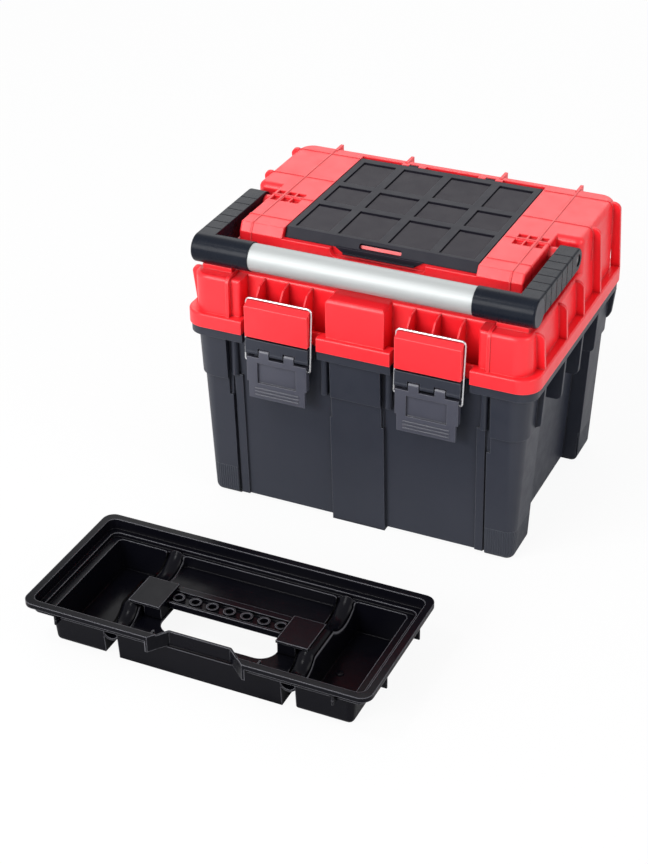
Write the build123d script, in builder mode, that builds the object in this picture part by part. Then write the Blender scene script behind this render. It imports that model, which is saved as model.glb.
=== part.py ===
"""A moulded tool box: bin, hinged lid with an organiser cover, swing handle, two wire latches, and a tray."""
from build123d import *
import math
import os

os.makedirs("parts", exist_ok=True)

# The box stands on the floor, centred on the origin. +X is right, +Y is to the rear, +Z is up. Millimetres.
wall = 3.0
seat_gap = 0.3

# The lid's skirt is the widest ring of the box
skirt_length = 450.0
skirt_depth = 345.0
skirt_corner = 25.0
skirt_low = 245.0
skirt_height = 18.0
ledge = skirt_low + skirt_height
skirt_half_x = skirt_length / 2
skirt_half_y = skirt_depth / 2

# The lid's walls stand in from the skirt
lid_side_inset = 11.0
lid_front_inset = 32.5
lid_rear_inset = 15.5
lid_corner = 20.0
lid_half_x = skirt_half_x - lid_side_inset
lid_front = lid_front_inset - skirt_half_y
lid_rear = skirt_half_y - lid_rear_inset

# Heights of the lid's deck, under the handle, and of its top
deck_rise = 50.0
top_rise = 94.0
deck = ledge + deck_rise
top = ledge + top_rise
top_round = 8.0

# The rear body is as wide as the lid, and the inner body stands between the handle's arms
shoulder = 15.5
inner_half_x = 181.0
inner_front = -101.0
bevel_reach = 6.5
bevel_drop = 11.0
edge_round = 2.5

# Corner blocks and middle block of the lid's front
block_inset = 6.0
block_front = block_inset - skirt_half_y
corner_block_inner = 163.5
middle_block_half = 37.0
block_round = 5.0
fin_width = 4.0
fin_proud = 1.5
fin_round = 9.0
pilaster_width = 12.5
pilaster_back = 5.0
pilaster_round = 4.0

# Upright ribs on the lid's sides and rear
rib_reach = 9.5
rib_thickness = 4.0
rib_lean = 11.0
low_rib_feet = (-134.0, -55.0, 9.0)
tall_rib_feet = (74.0, 154.0)
rear_rib_places = (-164.0, -64.0, 64.0, 164.0)
ridge_width = 1.8
ridge_height = 0.8
ridge_x = 165.0
front_ridge_places = (-71.5, -8.8)
rear_ridge_places = (54.0, 134.0)

# Latches: a wire bail on a lever, caught over a keeper on the lid
latch_x = 96.5
keeper_half = 41.0
keeper_front = -179.0
keeper_thickness = 10.5
keeper_low = 249.5
keeper_top = 294.6
keeper_bevel = 5.0
keeper_rib_pitch = 31.0
keeper_rib_thickness = 2.0
keeper_rib_rise = 12.0
latch_gap_half = 49.5
latch_gap_back = lid_front - 20.0
wire_radius = 1.5
wire_side_gap = 3.0
bail_bar_y = -168.6
bail_bend = 5.0
running_gap = 0.08

# Lever and its hinge block on the bin
lever_half = 39.5
lever_pin_radius = 1.5
knuckle_radius = 4.5
lever_axis_y = -174.5
lever_axis_z = 229.5
lever_low = 167.5
lever_thickness = 4.0
lever_rail = 6.5
lever_rail_depth = 8.5
lever_knuckle_width = 13.0
lever_knuckle_x = 16.5
lever_knuckle_gap = 1.4
lever_top_gap = 2.2
lever_foot_inset = 2.5
lever_foot_height = 22.0
lever_recess = 2.6
bail_drop = 13.5
block_half = 41.0
block_front_y = -178.5
block_top = 246.6

# Bin: a drafted tub with corner columns, standing on foot caps
bin_draft = 2.6
rim = skirt_low
flange_thickness = 12.0
flange_inset = 2.5
flange_corner = 22.0
column_inset_x = 12.0
column_inset_y = 8.3
column_radius = 22.0
column_inner_x = 166.0
column_inner_y = 98.0
side_recess = 20.0
panel_recess = 5.0
strip_drop = 2.5
strip_inner_x = 152.5
strip_top = 182.0
groove_width = 3.0
notch_width = 4.5
notch_low = 152.0
boss_width = 9.0
pilaster_half = 35.0
collar_proud = 3.0
collar_height = 58.0
floor_rise = 4.0
cap_height = 42.0
cap_wall = 2.5
cap_gap = 0.1
gusset_feet = (-138.0, -66.0, 7.0, 73.0, 149.0)
gusset_width = 5.0
gusset_drop = 45.0
gusset_round = 15.0
gusset_slope = 5.0
column_half_x = skirt_half_x - column_inset_x
column_half_y = skirt_half_y - column_inset_y
panel_half_x = column_half_x - side_recess
panel_half_y = column_half_y - panel_recess

# Lid hinge at the rear
hinge_out = 7.5
hinge_y = skirt_half_y + hinge_out
hinge_knuckle_radius = 6.0
hinge_pin_radius = 2.0
hinge_x = 120.0
hinge_leaf = 28.0
hinge_leaf_gap = 1.0

# Organiser well and its cover in the lid's top
cover_half_x = 122.5
cover_crease = -87.5
cover_foot = cover_crease - bevel_reach
cover_rear = 136.0
cover_thickness = 4.5
strip_thickness = 3.0
lip_height = top - bevel_drop - 0.8
cover_edge_gap = 1.5
well_depth = 34.0
cover_axis_y = 140.0
cover_axis_drop = 2.5
cover_knuckle_radius = 2.5
cover_pin_radius = 1.25
cover_hinge_x = 52.0
cover_knuckle_width = 12.0
cover_ear_width = 10.0
window_bar = 11.0
window_bar_x = 64.5
window_bar_places = (-8.0, 52.0)
window_margin = 8.0
window_recess = 2.4
tab_half = 56.5
tab_slope = 11.0
tab_drop = 6.5
tab_thickness = 2.6
tab_set = 1.0
scoop_half = 61.0
scoop_depth = 11.0
slot_half = 27.0
slot_height = 6.5
pocket_columns = ((139.0, 150.5), (152.5, 162.5), (167.5, 176.5))
pocket_rows = ((-25.0, -12.0), (-5.5, 4.0))
pocket_depth = 4.0

# Swing handle
handle_axis_y = -143.5
handle_axis_z = 337.6
tube_radius = 16.8
tube_wall = 1.6
tube_half = 141.0
elbow_radius = 18.0
elbow_spigot = 25.0
arm_inner = 192.0
arm_width = 24.0
arm_half_height = 14.5
pivot_y = -6.3
pivot_z = handle_axis_z + elbow_radius - arm_half_height
pivot_pin_radius = 4.0
pivot_head_radius = 7.0
pivot_head_depth = 5.0
boss_radius = 11.0
end_cap_thickness = 1.5
end_cap_radius = elbow_radius - 1.5
groove_pitch = 19.0
groove_count = 6
groove_width_arm = 1.4
groove_depth = 0.8

# Tray, lying on the floor before the box
tray_x = -37.0
tray_y = -430.0
tray_half_x = 213.0
tray_half_y = 98.0
tray_height = 60.0
tray_wall = 2.5
tray_corner = 14.0


def block(x, y, z, mode=Mode.ADD):
    """A box between two limits on each axis, added to or cut from the open part."""
    with Locations((sum(x) / 2, sum(y) / 2, sum(z) / 2)):
        Box(x[1] - x[0], y[1] - y[0], z[1] - z[0], mode=mode)


def rod(radius, x, y, z, mode=Mode.ADD):
    """A round bar along X between two limits."""
    with Locations(((x[0] + x[1]) / 2, y, z)):
        Cylinder(radius, x[1] - x[0], rotation=(0, 90, 0), mode=mode)


def drafted(half_x, half_y, radius, low, high):
    """A block given at the rim whose four sides draw in towards the floor."""
    with BuildPart() as form:
        with BuildSketch(Plane.XY.offset(rim)):
            if radius > 0:
                RectangleRounded(2 * half_x, 2 * half_y, radius)
            else:
                Rectangle(2 * half_x, 2 * half_y)
        extrude(amount=-rim, taper=bin_draft)
        split(bisect_by=Plane.XY.offset(low), keep=Keep.TOP)
        split(bisect_by=Plane.XY.offset(high), keep=Keep.BOTTOM)
    return form.part


def corner_columns(inset, low, high, trim=0.0):
    """Four corner columns between two heights, each outer side drawn in by inset."""
    reach_x = skirt_half_x - column_inner_x - trim
    reach_y = skirt_half_y - column_inner_y - trim
    with BuildPart() as form:
        add(drafted(column_half_x - inset, column_half_y - inset, column_radius - inset, low, high))
        with BuildSketch(Plane.XY.offset(low)):
            with GridLocations(skirt_length - reach_x, skirt_depth - reach_y, 2, 2):
                Rectangle(reach_x, reach_y)
        extrude(amount=high - low, mode=Mode.INTERSECT)
    return form.part


def front_pieces(inset, inner_x, outer_x, low, high):
    """Uprights on the bin's front and rear panels between two distances from the middle."""
    with BuildPart() as form:
        add(drafted(column_half_x, column_half_y - inset, 0, low, high))
        with BuildSketch(Plane.XY.offset(low)):
            if inner_x == 0:
                Rectangle(2 * outer_x, skirt_depth)
            else:
                with GridLocations(inner_x + outer_x, 0, 2, 1):
                    Rectangle(outer_x - inner_x, skirt_depth)
        extrude(amount=high - low, mode=Mode.INTERSECT)
    return form.part


def make_bin():
    """The bin, with its hinge blocks for the latches and its knuckles for the lid."""
    flange_low = rim - flange_thickness
    collar_low = flange_low - collar_height
    column_foot = cap_wall + cap_gap
    with BuildPart() as bin_body:
        # Tub between the columns, the columns over their caps, collars and uprights
        add(drafted(panel_half_x, panel_half_y, 0, floor_rise, rim))
        add(corner_columns(0, cap_height, rim))
        add(corner_columns(column_foot, column_foot, cap_height))
        add(corner_columns(-collar_proud, collar_low, flange_low))
        add(front_pieces(0, 0, pilaster_half, 0, rim))
        add(front_pieces(-collar_proud, 0, pilaster_half + 2, collar_low, flange_low))
        add(front_pieces(strip_drop, strip_inner_x, column_inner_x - groove_width, floor_rise, strip_top))
        # Flange under the lid's skirt
        with BuildSketch(Plane.XY.offset(flange_low)):
            RectangleRounded(2 * (skirt_half_x - flange_inset), 2 * (skirt_half_y - flange_inset), flange_corner)
        extrude(amount=flange_thickness)
        # Gussets under the flange at the sides
        for side in (-1, 1):
            for foot in gusset_feet:
                with BuildSketch(Plane.XZ.offset(-foot)):
                    with BuildLine():
                        outer = side * (skirt_half_x - flange_inset)
                        foot_x = outer - side * gusset_slope
                        inner = side * (panel_half_x - wall - 1)
                        low = flange_low - gusset_drop
                        Polyline((inner, flange_low), (outer, flange_low), (foot_x, low), (inner, low), close=True)
                    make_face()
                    corner = vertices().group_by(Axis.Y)[0].sort_by(Axis.X)[-1 if side > 0 else 0]
                    fillet(corner, gusset_round)
                extrude(amount=gusset_width / 2, both=True)
        # Notches beside the columns and the middle pilaster, with a half-round boss in the top of each
        notch_back = panel_half_y - wall + 1
        boss_height = flange_low - strip_top
        for side in (-1, 1):
            for end in (-1, 1):
                for edge, step in ((column_inner_x, 1), (pilaster_half + 2, -1)):
                    x = sorted((side * (edge - 0.1 * step), side * (edge + step * notch_width)))
                    y = sorted((end * notch_back, end * skirt_half_y))
                    block(x, y, (notch_low, flange_low - 0.01), Mode.SUBTRACT)
                    middle = side * (edge - step * (boss_width / 2 + seat_gap))
                    with Locations((middle, end * panel_half_y, strip_top + boss_height / 2)):
                        Cylinder(boss_width / 2, boss_height)
        # Room in the flange for the latches
        for side in (-1, 1):
            gap = (side * latch_x - latch_gap_half, side * latch_x + latch_gap_half)
            block(gap, (-skirt_half_y, -column_half_y + panel_recess), (flange_low - 1, rim + 1), Mode.SUBTRACT)
        # Interior
        add(drafted(panel_half_x - wall, panel_half_y - wall, 0, floor_rise + wall, rim), mode=Mode.SUBTRACT)
        add(column_hollows(), mode=Mode.SUBTRACT)
        add(corner_columns(column_foot + wall, column_foot + wall, cap_height + wall + 1, wall), mode=Mode.SUBTRACT)
        # Latch hinge blocks
        for side in (-1, 1):
            middle = side * latch_x
            with BuildSketch(Plane.YZ.offset(middle)):
                with BuildLine():
                    Polyline(
                        (-panel_half_y + 1.5, rim),
                        (latch_gap_back - 0.5, rim),
                        (latch_gap_back - 0.5, block_top),
                        (block_front_y, block_top),
                        (block_front_y, lever_axis_z - 1),
                        (lever_axis_y, lever_axis_z - knuckle_radius),
                        (-panel_half_y + 1.5, lever_axis_z - knuckle_radius),
                        close=True,
                    )
                make_face()
                with Locations((lever_axis_y, lever_axis_z)):
                    Circle(knuckle_radius)
            extrude(amount=block_half, both=True)
            notch = lever_knuckle_width / 2 + lever_knuckle_gap
            for x in (middle - lever_knuckle_x, middle + lever_knuckle_x):
                block(
                    (x - notch, x + notch),
                    (-skirt_half_y - 20, lever_axis_y + knuckle_radius + 0.7),
                    (0, lever_axis_z + knuckle_radius + 1.2),
                    Mode.SUBTRACT,
                )
            rod(
                lever_pin_radius + running_gap / 2,
                (middle - block_half - 1, middle + block_half + 1),
                lever_axis_y,
                lever_axis_z,
                Mode.SUBTRACT,
            )
        # Rear knuckles of the lid's hinge
        for side in (-1, 1):
            for step in (-1, 1):
                x = side * hinge_x + step * (hinge_leaf + hinge_leaf_gap)
                add(hinge_knuckle(x, -1))
    bin_body.part.label = "bin_body"
    return bin_body.part


def column_hollows():
    """The insides of the corner columns, which keep a wall round the notches beside them."""
    with BuildPart() as form:
        add(corner_columns(wall, cap_height + wall, rim, wall))
        for side in (-1, 1):
            for end in (-1, 1):
                x = sorted((side * column_inner_x, side * (column_inner_x + notch_width + wall)))
                y = sorted((end * (panel_half_y - 2 * wall), end * skirt_half_y))
                block(x, y, (notch_low - wall, rim), Mode.SUBTRACT)
    return form.part


def hinge_knuckle(x, up):
    """One bored knuckle of the rear hinge, webbed to the flange below it or to the skirt above it."""
    half = hinge_leaf / 2
    root = skirt_half_y - flange_inset - 0.5 if up < 0 else skirt_half_y - 1
    with BuildPart() as knuckle:
        with BuildSketch(Plane.YZ.offset(x)):
            with Locations((hinge_y, rim)):
                Circle(hinge_knuckle_radius)
            with BuildLine():
                Polyline(
                    (root, rim + up * 0.6),
                    (hinge_y - hinge_knuckle_radius, rim + up * 0.6),
                    (hinge_y, rim + up * 0.6),
                    (hinge_y, rim + up * hinge_knuckle_radius),
                    (root, rim + up * (hinge_knuckle_radius + 5)),
                    close=True,
                )
            make_face()
            with Locations((hinge_y, rim)):
                Circle(hinge_pin_radius + running_gap / 2, mode=Mode.SUBTRACT)
        extrude(amount=half, both=True)
    return knuckle.part


def lid_form(inset, low):
    """The lid's body as one closed form, drawn in all round by inset, from a low plane up."""
    half_x = lid_half_x - inset
    front = block_front + inset
    rear = lid_rear - inset
    corner = lid_corner - inset
    with BuildPart() as form:
        # Lower body with its corner blocks and middle block
        with BuildSketch(Plane.XY.offset(low)):
            with Locations((0, (front + rear) / 2)):
                RectangleRounded(2 * half_x, rear - front, corner)
            for side in (-1, 1):
                recess_inner = middle_block_half - inset
                recess_outer = corner_block_inner + inset
                recess_back = lid_front + inset
                with Locations((side * (recess_inner + recess_outer) / 2, (front - 5 + recess_back) / 2)):
                    Rectangle(recess_outer - recess_inner, recess_back - front + 5, mode=Mode.SUBTRACT)
        extrude(amount=deck - inset - low)
        fillet(form.faces().sort_by(Axis.Z)[-1].edges(), block_round if inset == 0 else 1.0)
        # Rear body
        with BuildSketch(Plane.XY.offset(low)):
            with BuildLine():
                Polyline(
                    (-half_x, shoulder + inset),
                    (half_x, shoulder + inset),
                    (half_x, rear),
                    (-half_x, rear),
                    close=True,
                )
            make_face()
            fillet(vertices().group_by(Axis.Y)[-1], corner)
            fillet(vertices().group_by(Axis.Y)[0], corner / 2)
        extrude(amount=top - inset - low)
        fillet(form.faces().sort_by(Axis.Z)[-1].edges(), top_round - inset)
    with BuildPart() as inner:
        # Inner body between the handle's arms, with a bevel along its front
        slope = math.hypot(bevel_reach, bevel_drop)
        crease = inner_front + bevel_reach + inset * (slope - bevel_reach) / bevel_drop
        bevel_foot = top - bevel_drop - inset * (slope - bevel_drop) / bevel_reach
        with BuildSketch(Plane.YZ):
            with BuildLine():
                Polyline(
                    (inner_front + inset, low),
                    (inner_front + inset, bevel_foot),
                    (crease, top - inset),
                    (shoulder + 30, top - inset),
                    (shoulder + 30, low),
                    close=True,
                )
            make_face()
        extrude(amount=inner_half_x - inset, both=True)
        if inset == 0:
            sides = [e for e in inner.edges() if e.center().Y < shoulder and abs(e.center().X) > inner_half_x - 1]
            fillet([e for e in sides if e.center().Z > top - bevel_drop - 1 or e.center().Z < deck], edge_round)
    with BuildPart() as whole:
        add(form.part)
        add(inner.part)
    return whole.part


def side_rib(side, foot, height):
    """One upright rib on the lid's side, leaning forward as it rises, with a rounded outer top corner."""
    lean = math.radians(rib_lean)
    normal = (0, -side * math.cos(lean), -side * math.sin(lean))
    plane = Plane(origin=(side * lid_half_x, foot, ledge), x_dir=(side, 0, 0), z_dir=normal)
    length = height / math.cos(lean)
    with BuildPart() as rib:
        with BuildSketch(plane):
            with BuildLine():
                Polyline((-2, -3), (rib_reach, -3), (rib_reach, length), (-2, length), close=True)
            make_face()
            fillet(vertices().group_by(Axis.Y)[-1].sort_by(Axis.X)[-1], rib_reach - 0.5)
        extrude(amount=rib_thickness / 2, both=True)
    return rib.part


def long_ridge(x):
    """A thin ridge that runs up the inner body's front and along the top to the rear."""
    with BuildPart() as ridge:
        with BuildSketch(Plane.YZ.offset(x)):
            with BuildLine():
                front, rear = inner_front - ridge_height, lid_rear + ridge_height
                crest = top + ridge_height
                Polyline(
                    (front, deck - 1),
                    (front, top - bevel_drop),
                    (inner_front + bevel_reach - ridge_height / 2, crest),
                    (rear, crest),
                    (rear, deck - 1),
                    close=True,
                )
            make_face()
            fillet(vertices().sort_by(Axis.X)[-2:].sort_by(Axis.Y)[-1], top_round + ridge_height)
        extrude(amount=ridge_width / 2, both=True)
    return ridge.part


def cross_ridge(side, y, reach, corner):
    """A thin ridge that runs out over the top beside the organiser and down the body's side."""
    with BuildPart() as ridge:
        with BuildSketch(Plane.XZ.offset(-y)):
            with BuildLine():
                inner, outer = side * (cover_half_x + 3), side * (reach + ridge_height)
                crest = top + ridge_height
                Polyline((inner, deck + 1), (inner, crest), (outer, crest), (outer, deck + 1), close=True)
            make_face()
            fillet(vertices().group_by(Axis.Y)[-1].sort_by(Axis.X)[-1 if side > 0 else 0], corner + ridge_height)
        extrude(amount=ridge_width / 2, both=True)
    return ridge.part


def block_fin(side):
    """The raised edge on a corner block's inner side, curving back over its top."""
    with BuildPart() as fin:
        with BuildSketch(Plane.YZ.offset(side * corner_block_inner)):
            with BuildLine():
                front, crest = block_front - fin_proud, deck + fin_proud
                Polyline((front, ledge - 1), (front, crest), (lid_front, crest), (lid_front, ledge - 1), close=True)
            make_face()
            fillet(vertices().group_by(Axis.Y)[-1].sort_by(Axis.X)[0], fin_round)
        extrude(amount=side * fin_width)
    return fin.part


def pilaster(side):
    """A narrow block with rounded edges that stands between a corner block and the latch."""
    inner, outer = side * (corner_block_inner - pilaster_width), side * (corner_block_inner + 1)
    with BuildPart() as form:
        block(
            sorted((inner, outer)),
            (block_front + pilaster_back, lid_front + 1),
            (ledge - 1, deck - 2),
        )
        front = form.faces().sort_by(Axis.Y)[0]
        edges = front.edges().filter_by(lambda e: e.center().Z > ledge and abs(e.center().X) < corner_block_inner)
        fillet(edges, pilaster_round)
    return form.part


def make_lid():
    """The lid: skirt, body, front blocks, keepers, ribs, hinge knuckles and the organiser's well."""
    with BuildPart() as lid_shell:
        add(lid_form(0, skirt_low))
        # Pads of the corner blocks that carry the handle's elbows
        pad_top = handle_axis_z - elbow_radius - seat_gap
        for side in (-1, 1):
            x = sorted((side * (corner_block_inner + fin_width), side * (lid_half_x - 8)))
            block(x, (handle_axis_y - 6, handle_axis_y + 6), (deck - 4, pad_top))
        # Skirt with a gap before each latch
        with BuildSketch(Plane.XY.offset(skirt_low)):
            RectangleRounded(skirt_length, skirt_depth, skirt_corner)
            RectangleRounded(2 * lid_half_x - 6, 2 * (skirt_half_y - 16), skirt_corner - 8, mode=Mode.SUBTRACT)
        extrude(amount=skirt_height)
        fillet(lid_shell.edges().filter_by_position(Axis.Z, ledge - 0.1, ledge + 0.1).sort_by(SortBy.LENGTH)[-1:], 2)
        for side in (-1, 1):
            gap = (side * latch_x - latch_gap_half, side * latch_x + latch_gap_half)
            block(gap, (-skirt_half_y - 20, latch_gap_back), (skirt_low - 1, ledge + 1), Mode.SUBTRACT)
        # Fins and pilasters beside the corner blocks
        for side in (-1, 1):
            add(block_fin(side))
            add(pilaster(side))
        # Ribs
        for side in (-1, 1):
            for foot in low_rib_feet:
                add(side_rib(side, foot, deck_rise - 1))
            for foot in tall_rib_feet:
                add(side_rib(side, foot, top_rise - 1))
        for x in rear_rib_places:
            half = rib_thickness / 2
            block((x - half, x + half), (lid_rear - 12, lid_rear + rib_reach - 0.5), (ledge - 1, top + ridge_height))
        # Thin ridges over the top
        for side in (-1, 1):
            add(long_ridge(side * ridge_x))
            for y in front_ridge_places:
                add(cross_ridge(side, y, inner_half_x, edge_round))
            for y in rear_ridge_places:
                add(cross_ridge(side, y, lid_half_x, top_round))
        # Interior
        add(lid_form(wall, skirt_low), mode=Mode.SUBTRACT)
        # Organiser well, with a lip before it that carries the foot of the cover's front strip
        well_low = top - well_depth
        edge = cover_edge_gap
        well_x = (-cover_half_x - edge, cover_half_x + edge)
        well_y = (cover_crease + cover_thickness, cover_axis_y + 3.5)
        block(
            (well_x[0] - wall, well_x[1] + wall),
            (well_y[0] - wall, well_y[1] + wall),
            (well_low - wall, top - wall),
        )
        with BuildSketch(Plane.YZ):
            with BuildLine():
                Polyline(
                    (inner_front + 1, lip_height - wall),
                    (inner_front + 1, top - bevel_drop),
                    (inner_front + bevel_reach + 0.6, top - 1),
                    (well_y[0], top - 1),
                    (well_y[0], lip_height - wall),
                    close=True,
                )
            make_face()
        extrude(amount=well_x[1] + wall, both=True)
        block(well_x, well_y, (well_low, top + 1), Mode.SUBTRACT)
        block(well_x, (inner_front - 5, well_y[0] + 1), (lip_height, top + 1), Mode.SUBTRACT)
        # Catch that shows through the cover's slot
        behind = strip_thickness * math.hypot(bevel_reach, bevel_drop) / bevel_drop + 1.0
        with BuildSketch(Plane.YZ):
            with BuildLine():
                Polyline(
                    (cover_foot + behind, lip_height - 1),
                    (cover_crease + behind - 3.2, top - cover_thickness - 1),
                    (well_y[0], top - cover_thickness - 1),
                    (well_y[0], lip_height - 1),
                    close=True,
                )
            make_face()
        extrude(amount=slot_half + 3, both=True)
        # Scoop under the thumb tab
        scoop_low = lip_height - scoop_depth
        scoop_back = cover_foot + tab_set
        block(
            (-scoop_half - wall, scoop_half + wall),
            (inner_front + 1, scoop_back + wall),
            (scoop_low - wall, lip_height - 0.5),
        )
        with BuildSketch(Plane.XZ.offset(-scoop_back)):
            with Locations((0, lip_height - scoop_depth / 2 + 3)):
                Rectangle(2 * scoop_half, scoop_depth + 6)
            fillet(vertices().group_by(Axis.Y)[0], scoop_depth - 2)
        extrude(amount=scoop_back - inner_front + 5, mode=Mode.SUBTRACT)
        # Pockets in the top, beside the handle's pivots
        for side in (-1, 1):
            x = sorted((side * (pocket_columns[0][0] - wall), side * (inner_half_x - 1)))
            y = (pocket_rows[0][0] - wall, pocket_rows[1][1] + wall)
            block(x, y, (top - pocket_depth - wall, top - wall))
            for column in pocket_columns:
                for row in pocket_rows:
                    x = sorted((side * column[0], side * column[1]))
                    block(x, row, (top - pocket_depth, top + 2), Mode.SUBTRACT)
        # Ears for the cover's hinge
        for side in (-1, 1):
            for step in (-1, 1):
                x = side * cover_hinge_x + step * (cover_knuckle_width / 2 + 0.4 + cover_ear_width / 2)
                cover_ear(x)
        # Keepers
        for side in (-1, 1):
            add(keeper(side * latch_x))
        # Bosses that carry the handle's pivots
        for side in (-1, 1):
            x = sorted((side * (inner_half_x - 2), side * (arm_inner - seat_gap)))
            rod(boss_radius, x, pivot_y, pivot_z)
            x = sorted((side * (inner_half_x - 12), side * (arm_inner + 1)))
            rod(pivot_pin_radius + 0.05, x, pivot_y, pivot_z, Mode.SUBTRACT)
        # Knuckles of the rear hinge
        for side in (-1, 1):
            add(hinge_knuckle(side * hinge_x, 1))
    lid_shell.part.label = "lid_shell"
    return lid_shell.part


def keeper(middle):
    """The hollow block on the lid's front that the latch's bail pulls down on, with ribs behind it."""
    front, back = keeper_front, keeper_front + keeper_thickness
    with BuildPart() as form:
        with BuildSketch(Plane.YZ.offset(middle)):
            with BuildLine():
                Polyline(
                    (front, keeper_low),
                    (front, keeper_top - keeper_bevel),
                    (back, keeper_top),
                    (back, keeper_low + wall),
                    (lid_front - 17, keeper_low + wall),
                    (lid_front - 17, keeper_low),
                    close=True,
                )
            make_face()
        extrude(amount=keeper_half, both=True)
        for x in (middle - keeper_rib_pitch, middle, middle + keeper_rib_pitch):
            with BuildSketch(Plane.YZ.offset(x)):
                with BuildLine():
                    Polyline(
                        (back - 0.5, keeper_low + 1),
                        (back - 0.5, keeper_top - 3),
                        (back + keeper_rib_rise, deck - 6),
                        (lid_front + 0.5, deck - 3),
                        (lid_front + 0.5, ledge - 1),
                        (lid_front - 18, ledge - 1),
                        (lid_front - 18, keeper_low + 1),
                        close=True,
                    )
                make_face()
            extrude(amount=keeper_rib_thickness / 2, both=True)
    return form.part


def cover_ear(x):
    """One ear on the rear edge of the organiser's well that holds the end of the cover's hinge pin."""
    z = top - cover_axis_drop
    half = cover_ear_width / 2
    block((x - half, x + half), (cover_axis_y - 2.2, cover_axis_y + 4), (z - 6, top))
    rod(cover_pin_radius + 0.02, (x - half - 1, x + half + 1), cover_axis_y, z, Mode.SUBTRACT)


def make_cover():
    """The organiser's cover: a ribbed panel with a bevelled front strip, a thumb tab and hinge knuckles."""
    low = top - cover_thickness
    axis_z = top - cover_axis_drop
    strip_low = lip_height + seat_gap
    foot = cover_crease - bevel_reach * (top - strip_low) / bevel_drop
    behind = strip_thickness * math.hypot(bevel_reach, bevel_drop) / bevel_drop
    with BuildPart() as cover:
        # Panel and its steep front strip in one profile
        with BuildSketch(Plane.YZ):
            with BuildLine():
                Polyline(
                    (cover_rear, low),
                    (cover_rear, top),
                    (cover_crease, top),
                    (foot, strip_low),
                    (foot + behind, strip_low),
                    (cover_crease + behind - bevel_reach * cover_thickness / bevel_drop, low),
                    close=True,
                )
            make_face()
        extrude(amount=cover_half_x, both=True)
        # Thumb tab under the strip
        tab_back = foot + tab_set
        with BuildSketch(Plane.XZ.offset(-tab_back)):
            with BuildLine():
                Polyline(
                    (-tab_half, strip_low + 1),
                    (-tab_half + tab_slope, strip_low - tab_drop),
                    (tab_half - tab_slope, strip_low - tab_drop),
                    (tab_half, strip_low + 1),
                    close=True,
                )
            make_face()
        extrude(amount=tab_thickness)
        tip = tab_half - tab_slope
        tip_y = (tab_back - 2 * tab_thickness, tab_back)
        block((-tip, tip), tip_y, (strip_low - tab_drop, strip_low - tab_drop + 2))
        # Slot through the strip
        with BuildSketch(Plane.XZ.offset(-foot - behind - 3)):
            with Locations((0, strip_low + (top - strip_low) / 2 - 1)):
                SlotOverall(2 * slot_half, slot_height)
        extrude(amount=behind + 12, mode=Mode.SUBTRACT)
        # Windows, the outer columns narrower and the middle row shorter
        half_bar = window_bar / 2
        columns = (
            (half_bar, window_bar_x - half_bar),
            (window_bar_x + half_bar, cover_half_x - window_margin),
        )
        rows = (
            (cover_crease + half_bar, window_bar_places[0] - half_bar),
            (window_bar_places[0] + half_bar, window_bar_places[1] - half_bar),
            (window_bar_places[1] + half_bar, cover_rear - window_bar),
        )
        for side in (-1, 1):
            for column in columns:
                for row in rows:
                    x = sorted((side * column[0], side * column[1]))
                    block(x, row, (top - window_recess, top + 1), Mode.SUBTRACT)
        # Hinge knuckles
        for side in (-1, 1):
            x = side * cover_hinge_x
            half = cover_knuckle_width / 2
            block((x - half, x + half), (cover_rear - 1, cover_axis_y), (axis_z - 2, axis_z + 2))
            rod(cover_knuckle_radius, (x - half, x + half), cover_axis_y, axis_z)
            rod(
                cover_pin_radius + running_gap / 2,
                (x - half - 1, x + half + 1),
                cover_axis_y,
                axis_z,
                Mode.SUBTRACT,
            )
    cover.part.label = "organiser_cover"
    return cover.part


def make_cover_pins():
    """The two hinge pins of the organiser's cover, held in the lid's ears."""
    half = cover_knuckle_width / 2 + 0.4 + cover_ear_width - 1
    with BuildPart() as pins:
        for side in (-1, 1):
            x = side * cover_hinge_x
            rod(cover_pin_radius, (x - half, x + half), cover_axis_y, top - cover_axis_drop)
    pins.part.label = "cover_hinge_pins"
    return pins.part


def make_hinge_pins():
    """The two steel pins of the lid's rear hinge, held in the bin's outer knuckles."""
    half = 1.5 * hinge_leaf + hinge_leaf_gap - 1
    with BuildPart() as pins:
        for side in (-1, 1):
            rod(hinge_pin_radius, (side * hinge_x - half, side * hinge_x + half), hinge_y, rim)
    pins.part.label = "lid_hinge_pins"
    return pins.part


def make_foot_cap(side_x, side_y, name):
    """One cap wrapped round the foot of a corner column."""
    with BuildPart() as cap:
        add(corner_columns(0, 0, cap_height - cap_gap))
        keep_x = sorted((0, side_x * skirt_half_x))
        keep_y = sorted((0, side_y * skirt_half_y))
        block(keep_x, keep_y, (-1, cap_height + 1), Mode.INTERSECT)
        inner = cap_wall
        add(
            drafted(column_half_x - inner, column_half_y - inner, column_radius - inner, cap_wall, cap_height),
            mode=Mode.SUBTRACT,
        )
    cap.part.label = name
    return cap.part


def make_tube():
    """The aluminium grip tube between the two elbows."""
    with BuildPart() as tube:
        rod(tube_radius, (-tube_half, tube_half), handle_axis_y, handle_axis_z)
        rod(tube_radius - tube_wall, (-tube_half - 1, tube_half + 1), handle_axis_y, handle_axis_z, Mode.SUBTRACT)
    tube.part.label = "handle_tube"
    return tube.part


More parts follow.
